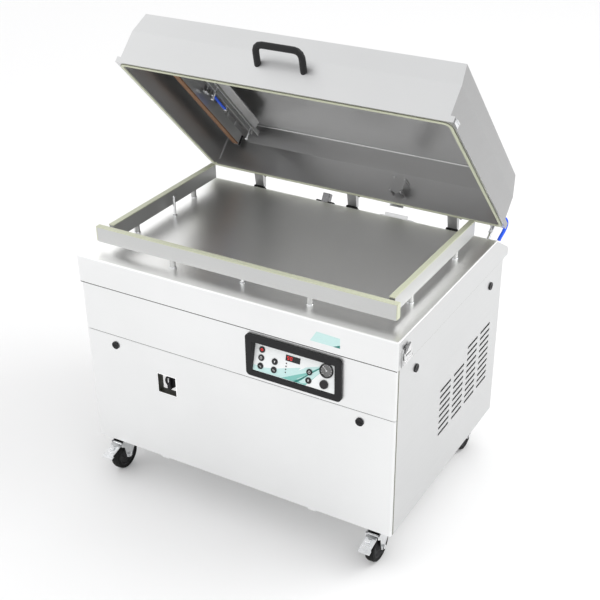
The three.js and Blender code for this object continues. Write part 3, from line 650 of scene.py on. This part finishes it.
# %% Sealing bars, holders, pins and tape
BAR_LOW, BAR_HIGH = 94, 142
TAPE_LOW, TAPE_HIGH = BAR_LOW - 0.8, BAR_LOW + 5.5
HOLDER = 158
for side, x in (("left", -550), ("right", 550)):
    body = f"seal_bar_{side}"
    block(f"heating_tape_{side}", (x - 11, 108, TAPE_LOW), (x + 11, 770, TAPE_HIGH), in_lid,
          tape_brown, body, "silicone", 1.2)
    block(f"bar_end_{side}", (x - 8, 775.3, BAR_LOW + 2), (x + 12, 787, BAR_HIGH - 4), in_lid,
          black_plastic, body, "black_plastic", 1.5)
block("bar_holder_left", (-532, 118, HOLDER), (-458, 762, HOLDER + 3), in_lid, lid_inside_painted_shade, "lid",
      "stainless", 0.6)
for rail in (-490, -460):
    block(f"holder_rail_{rail}", (rail - 1.5, 118, 143), (rail + 1.5, 762, HOLDER), in_lid, anodised,
          "lid", "anodised", 0.6)
plate("holder_gusset", [(-456, 118), (-402, 118), (-402, 640), (-456, 716)], 150, 153, in_lid,
      lid_inside_painted_shade, "lid", "stainless", 0.5)
for depth in (415, 735):
    turned(f"guide_pin_{depth}", [(0, 0), (4.5, 0), (4.5, 44), (7, 44), (7, 50), (5, 52), (0, 52)],
           facing("-z", -488, depth, HOLDER, in_lid), chrome, "lid", "chrome")
block("bar_tube_block", (-533, 398, 128), (-515, 424, HOLDER), in_lid, chrome, "lid", "chrome", 1.5)
tube("lid_hose_inside", [(-497, 426, 131), (-497, 460, 129.5), (-497, 500, 129.5), (-497, 534, 131)],
     5.5, in_lid, hose_blue, "lid", "blue_hose")
for name, depth in (("front", 421), ("rear", 534)):
    block(f"hose_elbow_{name}", (-503, depth - 6, 124), (-491, depth + 6, HOLDER), in_lid, chrome,
          "lid", "chrome", 3)
block("heating_tape_front", (-572, 68, TAPE_LOW), (572, 90, TAPE_HIGH), in_lid, tape_brown,
      "seal_bar_front", "silicone", 1.2)
for x in (-580, 574.3):
    block(f"front_bar_end_{x:.0f}", (x, 70, BAR_LOW + 2), (x + 5.7, 88, BAR_HIGH - 4), in_lid, black_plastic,
          "seal_bar_front", "black_plastic", 1.5)
tube("roof_weld", [(-598, 788, 199), (598, 788, 199)], 3, in_lid, lid_outer_steel, "lid", "stainless", 10)
for side in (-1, 1):
    tube(f"corner_weld_{side}", [(side * 601, 790, 196), (side * 614, 803, ROOF_FOLD), (side * 614, 803, 24)],
         2.2, in_lid, lid_outer_steel, "lid", "stainless", 8)
print("lid fittings done")

# %% [markdown]
# Round the deck: turned collars where the bar posts meet it, thin gas pins with a rounded top, and
# behind the fold the boots of the hinges. The collars and pins are turned profiles, the way a
# lathe would make them. The boots turn with the lid, so they ride on it; they reach into the
# deck plate where the hinges pass through it.

# %% Collars, gas pins and hinge boots
for i, (x, y) in enumerate([(-550, 249), (-550, 611), (550, 249), (550, 611), (-271, 81), (271, 81)]):
    turned(f"post_collar_{i}", [(10.3, 0.3), (12.2, 0.3), (12.2, 3), (11.4, 4), (10.3, 4), (10.3, 0.3)],
           facing("+z", x, y, DECK_TOP), chrome, "cabinet", "chrome")
for i, (x, y) in enumerate([(0, 100), (-515, 436)]):
    turned(f"gas_pin_{i}", [(0, 0.3), (9, 0.3), (9, 3), (5, 4.5), (5, 74), (4, 77), (2, 78.5), (0, 79)],
           facing("+z", x, y, DECK_TOP), chrome, "cabinet", "chrome")
for i, x in enumerate((-421, 0, 421)):
    shaft = in_lid @ Matrix.Translation((0, HINGE_Y - LID_FRONT, HINGE_Z - LID_REST))
    block(f"hinge_boot_{i}", (x - 24, -11, 24), (x + 24, 10.5, 42), shaft, black_plastic, "lid",
          "black_plastic", 2.5)
    for dx in (-11, 11):
        bolt(f"hinge_bolt_{i}_{dx}", "+y", x + dx, LID_DEPTH + 14.3, 62, "lid", 6, 4, in_lid)
    bolt(f"rim_stop_{i}", "-z", x + 38, LID_DEPTH - 4, 0, "lid", 5, 3.6, in_lid, black_plastic)

# %% [markdown]
# Behind the deck sit small fittings: a bracket on the lid's rim, a plate with a tab on the slope,
# and a box taken to be the switch that tells the controls when the lid is shut. They are small
# and partly hidden, so plain blocks with eased edges are enough.

# %% Stop bracket, slope plate and lid switch
block("rim_bracket", (166, LID_DEPTH + 8, -6), (222, LID_DEPTH + 11, 52), in_lid, lid_outer_steel, "lid",
      "stainless", 0.5)
block("rim_bracket_foot", (170, LID_DEPTH + 0.3, 24), (218, LID_DEPTH + 8.5, 50), in_lid,
      lid_outer_steel, "lid", "stainless", 0.5)
on_slope = (machine @ Matrix.Translation((0, SLOPE_START, DECK_TOP))
            @ Matrix.Rotation(-math.atan2(SLOPE_DROP, SLOPE_RUN), 4, "X"))
block("slope_plate", (150, 22, 0.4), (284, 62, 5), on_slope, lid_outer_steel, "cabinet", "stainless", 1)
block("slope_tab", (168, 20, 0.4), (262, 24, 17), on_slope, lid_outer_steel, "cabinet", "stainless", 0.8)
block("lid_switch", (-108, 26, 0.4), (-78, 52, 38), on_slope, dark_plating_and_painted_reflection, "cabinet", "chrome", 2)
for x in (-124, -66):
    block(f"lid_switch_foot_{x}", (x - 9, 30, 0.4), (x + 9, 46, 8), on_slope, black_plastic, "cabinet",
          "black_plastic", 2)

# %% [markdown]
# Joints and the baffle. A gap between two sheets shows as a thin dark line, because light that
# goes in does not come out. Dark strips and beads laid in the joints paint that shade from every
# angle, and a black screen behind the vent slots paints the shade inside the cabinet in the same
# way. Four nuts close the studs that carry the baffle plate.

# %% Painted shade in the joints and behind the vents, and baffle nuts
# Black strips under the apron and between the front panels: painted shadow in the gaps.
block("apron_shadow_strip_front", (-626, 0.6, 821.6), (626, 5.2, 825.4), machine, painted_shadow_black, "cabinet",
      "silicone", 0)
block("panel_shadow_strip_front", (-611, 6.3, 629.1), (611, 8, 630.9), machine, painted_shadow_black, "cabinet",
      "silicone", 0)
block("vent_shadow_screen", (620.4, 362, 340), (622.3, 836, 606), machine, painted_shadow_black, "cabinet",
      "black_plastic", 0)
for x in (171.5, 214.5):
    for height in (36.5, 87.5):
        nut_place = in_lid @ Matrix.Translation((x, 755.5, height)) @ Matrix.Rotation(math.pi / 2, 4, "X")
        turned(f"baffle_nut_{x:.0f}_{height:.0f}", [(0, 0), (3.6, 0), (3.6, 3), (2.6, 4.5), (0, 4.5)],
               nut_place, chrome, "lid", "chrome")
for side in (-1, 1):
    # Dark beads and strips at the corners and under the apron's sides: painted shade in the gaps.
    near, far = sorted((side * 624.6, side * 625.3))
    block(f"corner_shadow_bead_{side}", (near, 17.6, 157), (far, 21.9, 824), machine, painted_shade_grey, "cabinet",
          "silicone", 0)
    near, far = sorted((side * 620.5, side * 623.9))
    block(f"corner_shadow_strip_{side}", (near, 18.8, 157), (far, 20.7, 861), machine, painted_shadow_black, "cabinet",
          "silicone", 0)
    near, far = sorted((side * 625, side * 628.6))
    block(f"apron_shadow_strip_{side}", (near, 6, 822.5), (far, 896, 825.4), machine, painted_shade_grey, "cabinet",
          "silicone", 0)


def rim_loop(inset, radius, height):
    """A closed line round the lid's rim, with rounded corners."""
    right_x, left_x = LID_HALF - inset - radius, -LID_HALF + inset + radius
    front_y, rear_y = inset + radius, LID_DEPTH - inset - radius
    line = []
    for cx, cy, first in ((right_x, front_y, -90), (right_x, rear_y, 0), (left_x, rear_y, 90),
                          (left_x, front_y, 180)):
        for step in range(7):
            angle = math.radians(first + 15 * step)
            line.append((cx + radius * math.cos(angle), cy + radius * math.sin(angle), height))
    return line + [line[0]]


# A dark ring at the foot of the gasket: painted shade in the gap round it.
tube("gasket_shadow_lip", rim_loop(7.6, 28.4, -0.9), 0.9, in_lid, painted_shade_grey, "lid", "silicone", 8)
print("deck fittings done")

# %% [markdown]
# The air hose leaves the sloped back of the deck and goes into the lid's back wall. It is taken to
# be stiff plastic tube, short enough to stand in one even bend. It has to bend when the lid
# closes, so it is blended between the cabinet and the lid, and it replaces the fixed tube of the
# frame.

# %% The blue air hose with its fittings
HOSE = [(605, 886, 889), (608, 895, 903), (613, 915, 922), (614, 934, 939), (611, 939, 954),
        (603, 931, 968)]
hose_line = smooth_line(HOSE, 6)
hose_path = [machine @ p for p in hose_line]
hose_length = sum((b - a).length for a, b in zip(hose_path, hose_path[1:]))
hose = tube("air_hose", hose_line, 7, machine, hose_blue, None, "blue_hose")
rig.blend(hose, "cabinet", "lid", start=hose_path[0], end=hose_path[-1])
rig.cord(hose, exit=hose_path[0], length=hose_length, diameter=0.014, far_end="object", stiffness="stiff",
        lay="taut", path=hose_path)
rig.replaces(hose, "lid_air_hose")
slope = machine @ Matrix.Translation((604, 884.5, 886.5)) @ Matrix.Rotation(-math.radians(31), 4, "X")
turned("hose_fitting_deck", [(7.3, 0.5), (12, 0.5), (12, 6), (9.5, 8), (7.3, 8), (7.3, 0.5)], slope, chrome,
       "cabinet", "chrome")
turned("hose_fitting_lid", [(0, 0), (11, 0), (11, 4), (7.8, 6), (7.8, 11), (0, 11)],
       facing("+y", 602, LID_DEPTH + 0.3, 53, in_lid), chrome, "lid", "chrome")
print("hose length", round(hose_length, 4))

# %% [markdown]
# The console. Film with sweeping teal print lies behind round keys, a window with a red
# seven-segment number, four lamps, a round vacuum gauge and a large stop button. The print is
# cut as thin overlays, so that its edges stay crisp close up. The overlays have no holes, and the
# keys stand up through them. Marks on the keys are plain strokes, rings and dots without any
# lettering.

# %% Print on the console film
SWEEPS = (
    ("sweep_pale", pale_teal, 0.08, [(-156.5, 2), (-156.5, 21), (-115, 20), (-70, 28), (-28, 41.5),
                                     (24, 57), (97, 82), (97, 61), (72, 31), (47, 2)]),
    ("sweep_light", film, 0.10, [(15, 45), (62, 114), (88, 114), (34, 57)]),
    ("sweep_mid", mid_teal, 0.14, [(-45, 3), (8, 28), (50, 47), (97, 80), (97, 61), (72, 31), (47, 2)]),
    ("sweep_pale_upper", pale_teal, 0.18, [(12, 14), (43, 36), (96, 76), (97, 62), (72, 33), (52, 10),
                                           (30, 4)]),
    ("sweep_dark", dark_teal, 0.22, [(-2, 2), (22, 18), (43, 35), (97, 80), (97, 75), (58, 43), (30, 16),
                                     (12, 2)]),
)
for name, ink, height, outline in SWEEPS:
    plate(name, outline, 0.02, height, on_fascia, ink, "cabinet", "fascia_foil")

# %% Keys' marks, window, lamps and gauge
COLUMNS, ROWS = (-129, -76.5, 56), (80, 51, 21.7)
KEYS = ((0, 0), (0, 1), (0, 2), (1, 1), (1, 2), (2, 1), (2, 2))


def ring_mark(name, x, y, radius, ink, body, z=2.5):
    profile = [(radius - 1.1, 0), (radius, 0), (radius, 0.25), (radius - 1.1, 0.25), (radius - 1.1, 0)]
    turned(name, profile, on_fascia @ Matrix.Translation((x, y, z)), ink, body, "fascia_foil", 24)


def stroke(name, x, y, width, height, ink, body, z=2.5, thick=0.25):
    corners = [(x - width / 2, y - height / 2), (x + width / 2, y - height / 2),
               (x + width / 2, y + height / 2), (x - width / 2, y + height / 2)]
    plate(name, corners, z, z + thick, on_fascia, ink, body, "fascia_foil")


for number, (column, row) in enumerate(KEYS, 1):
    x, y, body = COLUMNS[column], ROWS[row], f"key_{number}"
    ink = lit_red if number == 1 else white_print
    if number in (1, 2, 6):
        ring_mark(f"key_ring_{number}", x, y, 4.6, ink, body)
        stroke(f"key_stroke_{number}", x, y + 2.6, 1.3, 5.2, ink, body)
    elif number in (3, 5):
        stroke(f"key_bar_{number}", x, y, 7, 1.6, ink, body)
        stroke(f"key_dot_{number}", x + 2.6, y - 3, 2, 2, ink, body)
    else:
        stroke(f"key_plus_a_{number}", x, y, 2.4, 7, ink, body)
        stroke(f"key_plus_b_{number}", x, y + 2, 5, 1.6, ink, body, thick=0.2)
ring_mark("stop_ring", 114.6, 24.4, 10, black_plastic, "stop_button", 6)
block("display_window", (-37.6, 66.4, -0.7), (17.6, 87.1, 0.6), on_fascia, gloss_black, "cabinet",
      "black_plastic", 0.5)
SEGMENTS = {"a": (0, 5.4, 5, 1.5), "b": (3, 2.7, 1.5, 4.4), "c": (3, -2.7, 1.5, 4.4), "d": (0, -5.4, 5, 1.5),
            "e": (-3, -2.7, 1.5, 4.4), "f": (-3, 2.7, 1.5, 4.4), "g": (0, 0, 5, 1.5)}
for x, lit_parts in ((-28, "abcdfg"), (-16.5, "abcdef")):
    for part in lit_parts:
        dx, dy, width, height = SEGMENTS[part]
        stroke(f"digit_{x:.0f}_{part}", x + dx, 76.8 + dy, width, height, lit_red, "cabinet", 0.6, 0.1)
for i, y in enumerate((57.3, 46.6, 36, 25.3)):
    turned(f"lamp_{i}", [(0, 0.1), (2.4, 0.1), (2.2, 1), (1.2, 1.7), (0, 1.9)],
           on_fascia @ Matrix.Translation((-32.5, y, 0.2)), gloss_black, "cabinet", "black_plastic", 16)
GAUGE = (116.8, 72.5)
turned("gauge_card", [(0, 0), (21.7, 0), (21.7, 0.2), (0, 0.2)],
       on_fascia @ Matrix.Translation((*GAUGE, 0.02)), dial_grey, "cabinet", "black_plastic")
for tick in range(11):
    turn = Matrix.Rotation(math.radians(-135 + 27 * tick), 4, "Z")
    tick_place = on_fascia @ Matrix.Translation((*GAUGE, 0.2)) @ turn
    plate(f"gauge_tick_{tick}", [(-0.5, 15.5), (0.5, 15.5), (0.5, 20), (-0.5, 20)], 0, 0.15, tick_place,
          white_print, "cabinet", "fascia_foil")
turned("gauge_lens", [(0, 2.6), (21.8, 2.6), (21.8, 3.6), (0, 3.6)],
       on_fascia @ Matrix.Translation((*GAUGE, 0)), glass, "cabinet", "black_plastic")
print("console done")

# %% [markdown]
# The apron carries a small slanted badge, taken to be a thin printed plate. Two thin overlays give
# it. Its lettering is left out, and only the colour stays.

# %% Plain badge on the apron
on_apron = facing("-y", 0, -0.02, 0)
plate("badge", [(317, 850), (426, 850), (426, 886), (341, 889)], 0, 0.25, on_apron, pale_teal, "cabinet",
      "fascia_foil")
plate("badge_corner", [(400, 850), (426, 850), (426, 861)], 0.25, 0.35, on_apron, dark_teal, "cabinet",
      "fascia_foil")

# %% [markdown]
# Casters. Each has a pressed fork, a swivel head drawn in black, whose darkness paints the shade
# under the cabinet, a moulded wheel with a rubber tread, and an axle nut on both sides. The wheel
# of the frame is a plain drum, so a turned tyre and hub stand for it.

# %% Wheels, axle nuts and swivel heads
CASTERS = (("front_left", -552, 89), ("front_right", 552, 89), ("rear_left", -552, 845),
           ("rear_right", 552, 845))
TRAIL, AXLE_HEIGHT = 40, 62.5
TYRE = [(47, -16), (54, -17.5), (59.5, -15.5), (62, -10), (62.5, 0), (62, 10), (59.5, 15.5), (54, 17.5),
        (47, 16), (47, -16)]
HUB = [(6, -19.5), (15, -19.5), (17, -16), (24, -9), (40, -9), (44, -15), (46.8, -15), (46.8, 15),
       (44, 15), (40, 9), (24, 9), (17, 16), (15, 19.5), (6, 19.5), (6, -19.5)]
SWIVEL_HEAD = [(0, 137.1), (36, 137.1), (36.5, 139), (36.5, 148), (35, 149.2), (0, 149.2)]
for name, x, y in CASTERS:
    axle = facing("+x", x, y - TRAIL, AXLE_HEIGHT)
    body = f"wheel_{name}"
    tyre = turned(f"tyre_{name}", TYRE, axle, tyre_rubber, body, "wheel_rubber", 64)
    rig.replaces(tyre, f"caster_wheel_{name}")
    turned(f"hub_{name}", HUB, axle, hub_plastic, body, "black_plastic", 48)
    fork = f"caster_{name}"
    for side, axis in ((1, "+x"), (-1, "-x")):
        turned(f"axle_nut_{name}_{side}", [(0, 0), (9, 0), (9, 6), (7.5, 7.5), (0, 7.5)],
               facing(axis, x + side * 26.2, y - TRAIL, AXLE_HEIGHT), chrome, fork, "chrome", 6)
    # The swivel head is drawn black: painted shade under the cabinet.
    turned(f"swivel_head_{name}", SWIVEL_HEAD, facing("+z", x, y, 0), black_plastic, fork,
           "black_plastic", 40)
    for dx, dy in ((-35, -38), (35, -38), (-35, 34), (35, 34)):
        bolt(f"caster_bolt_{name}_{dx}_{dy}", "-z", x + dx, y + dy, 149.8, "cabinet", 6, 4)
for name, x, y in CASTERS[:2]:
    on_pedal = machine @ Matrix.Translation((x, y - 70, 124)) @ Matrix.Rotation(math.radians(15), 4, "X")
    pedal = f"pedal_{name}"
    block(f"pedal_release_{name}", (-12, -40, 2.1), (6, -25, 9), on_pedal, chrome, pedal, "chrome", 2)
    block(f"pedal_rib_{name}", (-16, -54, 2.1), (16, -49, 4.5), on_pedal, chrome, pedal, "chrome", 1)
print("casters done")

# %% [markdown]
# Last small parts: raised rims on the locks, the pointer of the main switch, and the studs of the
# toggle latch. The hook of the latch is darker at its tip, a painted dark reflection: the faces
# there get a second, darker plated finish.

# %% Lock rims, switch pointer and latch studs
LOCK_PROUD = 4.3
FRONT_LOCK, SIDE_LOCK = 5.5 - LOCK_PROUD, 624.5 + LOCK_PROUD
LOCKS = (("front_left", "-y", (-498, FRONT_LOCK, 590)), ("front_right", "-y", (498, FRONT_LOCK, 590)),
         ("side_front", "+x", (SIDE_LOCK, 150, 757)), ("side_rear", "+x", (SIDE_LOCK, 788, 757)))
for name, axis, centre in LOCKS:
    turned(f"lock_rim_{name}", [(12.2, -0.6), (14.6, -0.6), (14.1, 0.5), (12.6, 0.5), (12.2, -0.6)],
           facing(axis, *centre), gloss_black, f"lock_{name}", "black_plastic")
block("switch_pointer", (-281.5, 14.6, 492), (-278.5, 16.4, 509), machine, white_print, "switch_knob",
      "fascia_foil", 0.2)
for z in (832, 884):
    bolt(f"latch_stud_{z}", "+x", 632.9, 56, z, "cabinet", 3.2, 2)
for node in ("latch_base", "latch_lever"):
    dress(node, latch_satin, 0.6)
dress("latch_hook", latch_satin, 0.5)
# Faces of the hook above this height take the darker plating: painted dark reflection.
HOOK_REFLECTION_ABOVE = 888
hook = nodes["latch_hook"]
hook.data.materials.append(dark_plating_and_painted_reflection)
for face in hook.data.polygons:
    if (machine.inverted() @ face.center).z > HOOK_REFLECTION_ABOVE:
        face.material_index = 1
print("small parts done")

# %% [markdown]
# The stage is a pale floor under a bright, even sky with two large soft lamps. Metal shows only
# what it reflects, so the sky is graded from white at the sides to light grey overhead, which
# puts long soft gradients on the steel.

# %% Floor, sky and lamps
floor_mesh = bpy.data.meshes.new("floor")
floor_mesh.from_pydata([(-30, -30, 0), (30, -30, 0), (30, 30, 0), (-30, 30, 0)], [], [(0, 1, 2, 3)])
floor_paint, floor_shader = new_material("floor paint", (0.8, 0.8, 0.8), 0.8)
floor_shader.inputs["Emission Color"].default_value = (1, 1, 1, 1)
floor_shader.inputs["Emission Strength"].default_value = 0.05
floor_mesh.materials.append(floor_paint)
floor = bpy.data.objects.new("floor", floor_mesh)
bpy.context.scene.collection.objects.link(floor)
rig.stage(floor)

world = bpy.data.worlds.new("studio")
bpy.context.scene.world = world
world.use_nodes = True
sky = world.node_tree
direction = sky.nodes.new("ShaderNodeTexCoord")
split = sky.nodes.new("ShaderNodeSeparateXYZ")
grade = sky.nodes.new("ShaderNodeValToRGB")
grade.color_ramp.elements[0].position, grade.color_ramp.elements[1].position = 0.3, 0.95
grade.color_ramp.elements[0].color = (1.0, 1.0, 1.0, 1)
grade.color_ramp.elements[1].color = (0.68, 0.68, 0.685, 1)
sky.links.new(direction.outputs["Generated"], split.inputs["Vector"])
sky.links.new(split.outputs["Z"], grade.inputs["Fac"])
sky.links.new(grade.outputs["Color"], sky.nodes["Background"].inputs["Color"])
sky.nodes["Background"].inputs["Strength"].default_value = 1.36


def lamp(name, position, target, size, power):
    data = bpy.data.lights.new(name, "AREA")
    data.shape, data.size, data.size_y, data.energy = "RECTANGLE", size[0], size[1], power
    light = bpy.data.objects.new(name, data)
    bpy.context.scene.collection.objects.link(light)
    light.location = position
    light.rotation_euler = (Vector(target) - Vector(position)).to_track_quat("-Z", "Y").to_euler()


lamp("back_right", (3.2, 1.8, 4.8), (0, -0.2, 0.4), (3.0, 3.0), 110)
lamp("front_left", (-3.6, -4.2, 2.0), (0, 0, 0.8), (2.5, 2.5), 12)
bpy.context.scene.view_settings.view_transform = "Standard"
print("stage set")

# %% Sizes and finish
json.dump({"cad": [list(corner) for corner in cad_box], "visual": [list(corner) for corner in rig.bounds()]},
          open("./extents.json", "w"))
print(open("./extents.json").read())
